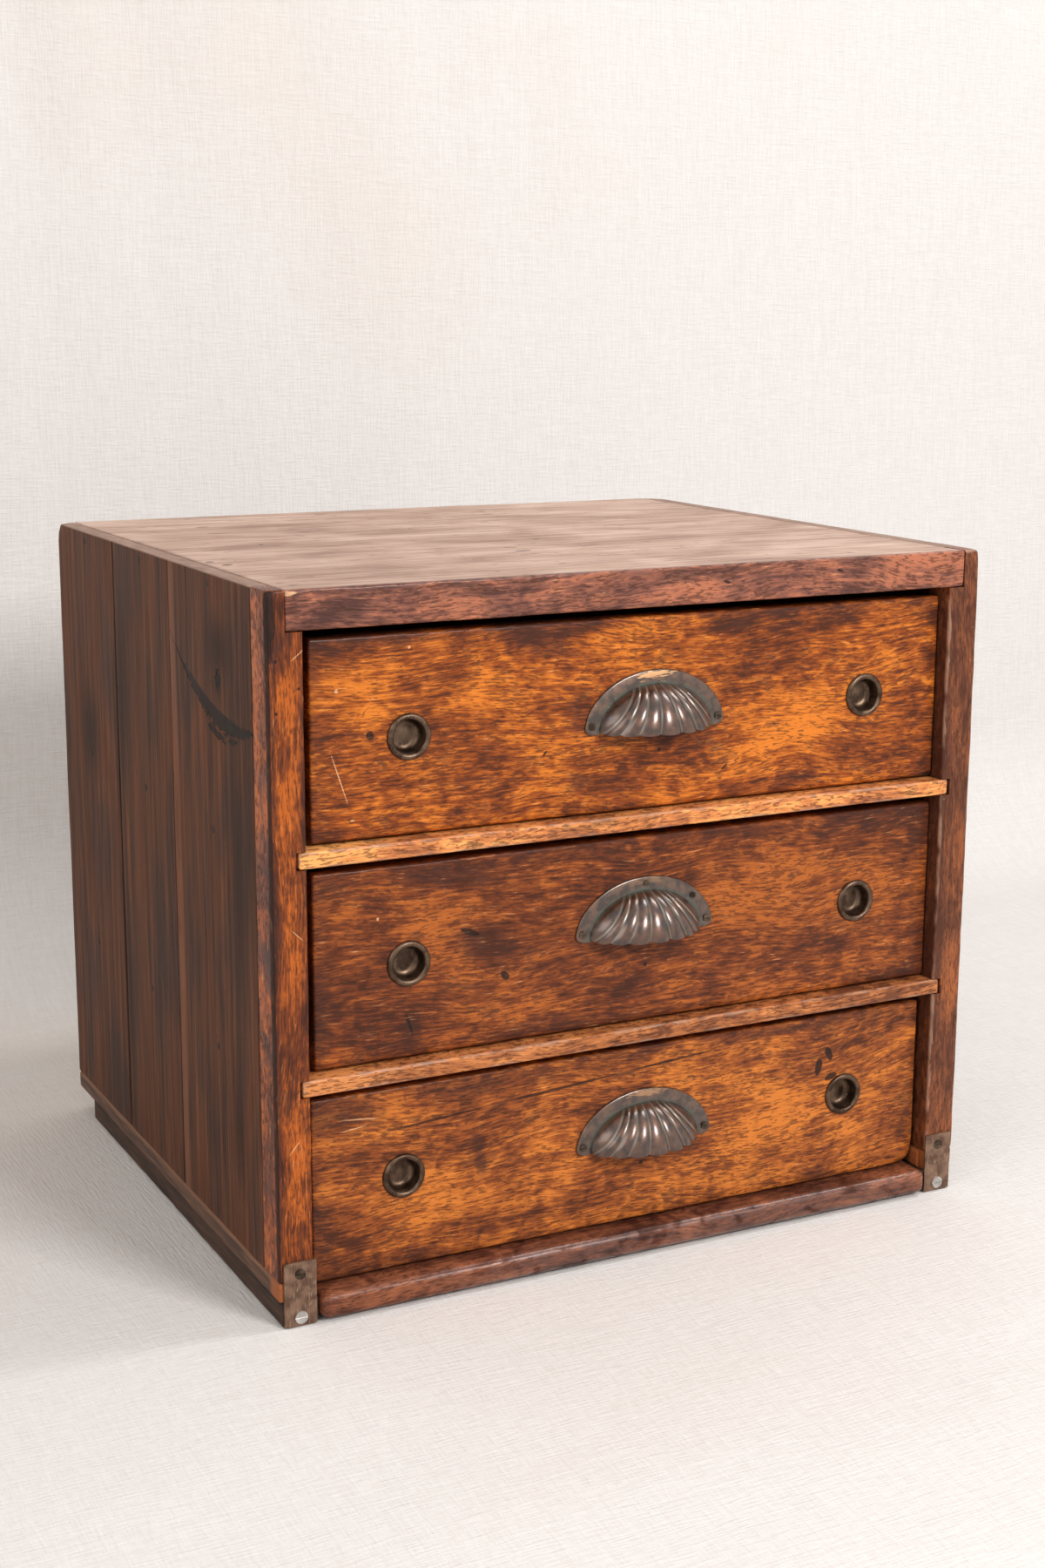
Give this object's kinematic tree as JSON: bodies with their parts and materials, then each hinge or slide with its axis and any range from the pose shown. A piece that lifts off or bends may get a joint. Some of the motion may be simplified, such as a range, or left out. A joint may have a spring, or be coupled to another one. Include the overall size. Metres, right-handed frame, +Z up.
{
  "type": "tabletop chest of drawers",
  "caption": "Small lacquered oak tabletop chest with full-width sliding drawers, fluted cup pulls, round finger cups, softwood sides and top, and iron corner straps.",
  "frame": {"origin": "on the floor, under the middle of the chest's overall width and depth", "axes": "+X to the right seen from the front, +Y from the drawer fronts to the back, +Z up"},
  "size_m": [0.42, 0.367, 0.3745],
  "materials": {
    "lacquered_oak": "worn glossy brown lacquer over oak",
    "rail_oak": "thin worn lacquer over lighter oak",
    "side_cedar": "dark dry softwood, grain upright",
    "top_cedar": "pale dry softwood, scuffed",
    "inner_cedar": "bare aged softwood",
    "bronze_hardware": "dark bronzed pressed brass, polished by hands",
    "strap_iron": "dark scratched plate",
    "bright_screws": "bright plated steel",
    "old_screws": "dark old brass",
    "iron_nails": "dark iron"
  },
  "bodies": {
    "carcass": {"left_front_stile": "lacquered_oak", "right_front_stile": "lacquered_oak", "left_side_board_front": "side_cedar", "left_side_board_middle": "side_cedar", "left_side_board_rear": "side_cedar", "right_side_board_front": "side_cedar", "right_side_board_middle": "side_cedar", "right_side_board_rear": "side_cedar", "top_front_rail": "lacquered_oak", "top_board_front": "top_cedar", "top_board_middle": "top_cedar", "top_board_rear": "top_cedar", "upper_shelf_rail": "rail_oak", "lower_shelf_rail": "rail_oak", "upper_shelf_board": "inner_cedar", "lower_shelf_board": "inner_cedar", "bottom_board": "inner_cedar", "bottom_nosing": "lacquered_oak", "left_base_rail": "lacquered_oak", "right_base_rail": "lacquered_oak", "left_skid": "side_cedar", "right_skid": "side_cedar", "back_board_lower": "inner_cedar", "back_board_middle": "inner_cedar", "back_board_upper": "inner_cedar", "left_drawer_guides": "inner_cedar", "right_drawer_guides": "inner_cedar", "left_corner_strap": "strap_iron", "right_corner_strap": "strap_iron", "strap_screws_old": "old_screws", "strap_screws_new": "bright_screws", "carcass_nails": "iron_nails"},
    "upper_drawer": {"upper_drawer_front": "lacquered_oak", "upper_drawer_left_side": "inner_cedar", "upper_drawer_right_side": "inner_cedar", "upper_drawer_back": "inner_cedar", "upper_drawer_bottom": "inner_cedar", "upper_drawer_cup_pull": "bronze_hardware", "upper_drawer_finger_cups": "bronze_hardware", "upper_drawer_pull_screws": "old_screws", "upper_drawer_nails": "iron_nails"},
    "middle_drawer": {"middle_drawer_front": "lacquered_oak", "middle_drawer_left_side": "inner_cedar", "middle_drawer_right_side": "inner_cedar", "middle_drawer_back": "inner_cedar", "middle_drawer_bottom": "inner_cedar", "middle_drawer_cup_pull": "bronze_hardware", "middle_drawer_finger_cups": "bronze_hardware", "middle_drawer_pull_screws": "old_screws", "middle_drawer_nails": "iron_nails"},
    "lower_drawer": {"lower_drawer_front": "lacquered_oak", "lower_drawer_left_side": "inner_cedar", "lower_drawer_right_side": "inner_cedar", "lower_drawer_back": "inner_cedar", "lower_drawer_bottom": "inner_cedar", "lower_drawer_cup_pull": "bronze_hardware", "lower_drawer_finger_cups": "bronze_hardware", "lower_drawer_pull_screws": "old_screws", "lower_drawer_nails": "iron_nails"}
  },
  "joints": [
    {"name": "upper_drawer_slide", "type": "slide", "parent": "carcass", "child": "upper_drawer", "axis": [0, -1, 0], "range_m": [0, 0.25]},
    {"name": "middle_drawer_slide", "type": "slide", "parent": "carcass", "child": "middle_drawer", "axis": [0, -1, 0], "range_m": [0, 0.25]},
    {"name": "lower_drawer_slide", "type": "slide", "parent": "carcass", "child": "lower_drawer", "axis": [0, -1, 0], "range_m": [0, 0.25]}
  ]
}
